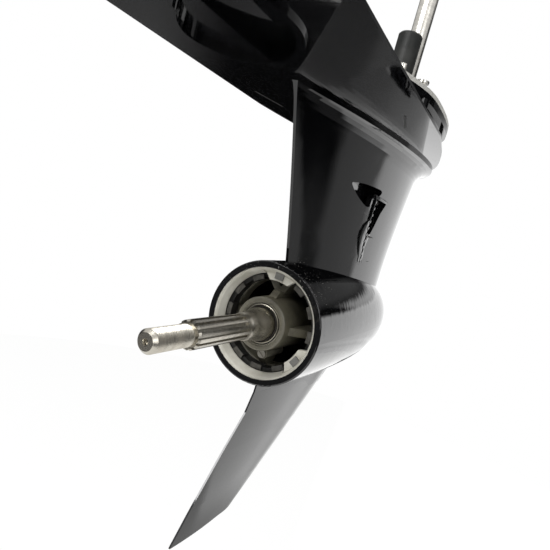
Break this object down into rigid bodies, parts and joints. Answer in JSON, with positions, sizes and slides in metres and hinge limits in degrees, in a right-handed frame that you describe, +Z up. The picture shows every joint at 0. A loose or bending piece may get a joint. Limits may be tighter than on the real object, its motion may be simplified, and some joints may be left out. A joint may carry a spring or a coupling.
{
  "type": "outboard lower unit",
  "caption": "Outboard lower unit with torpedo, strut, skeg, anti-ventilation plate, splined propeller shaft, driveshaft and a working bevel gear and shift train.",
  "frame": {"origin": "where the driveshaft axis meets the top mating face", "axes": "+X starboard, +Y ahead towards the bow, +Z up along the driveshaft"},
  "size_m": [0.175, 0.6, 0.786],
  "materials": {
    "black_gloss_paint": "cast, with a glossy black lacquer",
    "stainless_steel": "satin turned",
    "gear_steel": "ground and hardened",
    "bearing_steel": "polished",
    "bronze": "plain bearing bronze",
    "cast_aluminium": "as cast",
    "carrier_casting": "thin olive grey primer on a casting",
    "dark_nut": "dark grey coating",
    "bare_primed_metal": "pale primed and machined",
    "grey_tab_steel": "dull grey",
    "black_moulding": "moulded",
    "black_rubber": "matt",
    "seal_rubber": "smooth",
    "gasket_sheet": "pressed fibre"
  },
  "bodies": {
    "gearcase": {"gearcase_housing": "black_gloss_paint", "upper_casing": "black_gloss_paint", "drive_bearing_cup": "bearing_steel", "drive_bearing_rollers": "bearing_steel", "drive_needle_bearing": "bearing_steel", "seal_housing": "cast_aluminium", "drive_seal_lower": "seal_rubber", "drive_seal_upper": "seal_rubber", "seal_housing_ring": "seal_rubber", "pump_gasket": "gasket_sheet", "pump_wear_plate": "stainless_steel", "pump_cup": "stainless_steel", "pump_housing": "black_moulding", "pump_bolts": "stainless_steel", "water_tube_seal": "black_rubber", "forward_bearing_cup": "bearing_steel", "forward_bearing_rollers": "bearing_steel", "reverse_bearing_outer": "bearing_steel", "reverse_bearing_balls": "bearing_steel", "shift_rod_retainer": "cast_aluminium", "shift_rod_boot": "black_rubber", "retainer_screw": "stainless_steel", "bearing_carrier": "carrier_casting", "carrier_needle_bearing": "bearing_steel", "shaft_seal_outer": "seal_rubber", "shaft_seal_inner": "seal_rubber", "carrier_o_ring": "seal_rubber", "carrier_key": "stainless_steel", "hub_screw": "stainless_steel", "ring_nut": "dark_nut", "lock_ring": "bare_primed_metal", "lock_tabs": "grey_tab_steel", "intake_grille_starboard": "black_gloss_paint", "intake_grille_port": "black_gloss_paint", "grille_screws": "stainless_steel", "drain_plug": "stainless_steel", "drain_plug_washer": "gasket_sheet", "vent_plug": "stainless_steel", "vent_plug_washer": "gasket_sheet", "dowel_pins": "stainless_steel"},
    "driveshaft": {"driveshaft": "stainless_steel", "drive_bearing_cone": "bearing_steel", "pump_impeller": "black_rubber", "impeller_key": "stainless_steel", "pinion_gear": "gear_steel", "pinion_nut": "gear_steel"},
    "forward_gear": {"forward_gear": "gear_steel", "forward_bearing_cone": "bearing_steel"},
    "reverse_gear": {"reverse_gear": "gear_steel", "reverse_bearing_inner": "bearing_steel"},
    "propeller_shaft": {"propeller_shaft": "stainless_steel", "thrust_washer": "bronze"},
    "dog_clutch": {"dog_clutch": "gear_steel", "clutch_cross_pin": "gear_steel", "clutch_spring_ring": "gear_steel", "clutch_plunger": "gear_steel"},
    "shift_slider": {"shift_slider": "gear_steel"},
    "shift_rod": {"shift_rod": "stainless_steel", "shift_crank": "gear_steel"}
  },
  "joints": [
    {"name": "driveshaft_spin", "type": "hinge", "parent": "gearcase", "child": "driveshaft", "pos_m": [0, 0, 0], "axis": [0, 0, 1], "continuous": true},
    {"name": "forward_gear_spin", "type": "hinge", "parent": "gearcase", "child": "forward_gear", "pos_m": [0, 0, -0.255], "axis": [0, 1, 0], "continuous": true},
    {"name": "reverse_gear_spin", "type": "hinge", "parent": "gearcase", "child": "reverse_gear", "pos_m": [0, 0, -0.255], "axis": [0, 1, 0], "continuous": true},
    {"name": "propeller_shaft_spin", "type": "hinge", "parent": "gearcase", "child": "propeller_shaft", "pos_m": [0, 0, -0.255], "axis": [0, 1, 0], "continuous": true},
    {"name": "clutch_slide", "type": "slide", "parent": "propeller_shaft", "child": "dog_clutch", "axis": [0, 1, 0], "range_m": [-0.005, 0.005]},
    {"name": "slider_slide", "type": "slide", "parent": "gearcase", "child": "shift_slider", "axis": [0, 1, 0], "range_m": [-0.005, 0.005]},
    {"name": "shift_rod_turn", "type": "hinge", "parent": "gearcase", "child": "shift_rod", "pos_m": [0, 0.072, 0], "axis": [0, 0, 1], "range_deg": [-25, 25]}
  ],
  "couplings": [
    {"joint": "forward_gear_spin", "follows": "driveshaft_spin", "ratio": -0.5},
    {"joint": "reverse_gear_spin", "follows": "driveshaft_spin", "ratio": 0.5},
    {"joint": "clutch_slide", "follows": "slider_slide", "ratio": 1},
    {"joint": "shift_rod_turn", "follows": "slider_slide", "rad_per_m": 87.266}
  ]
}
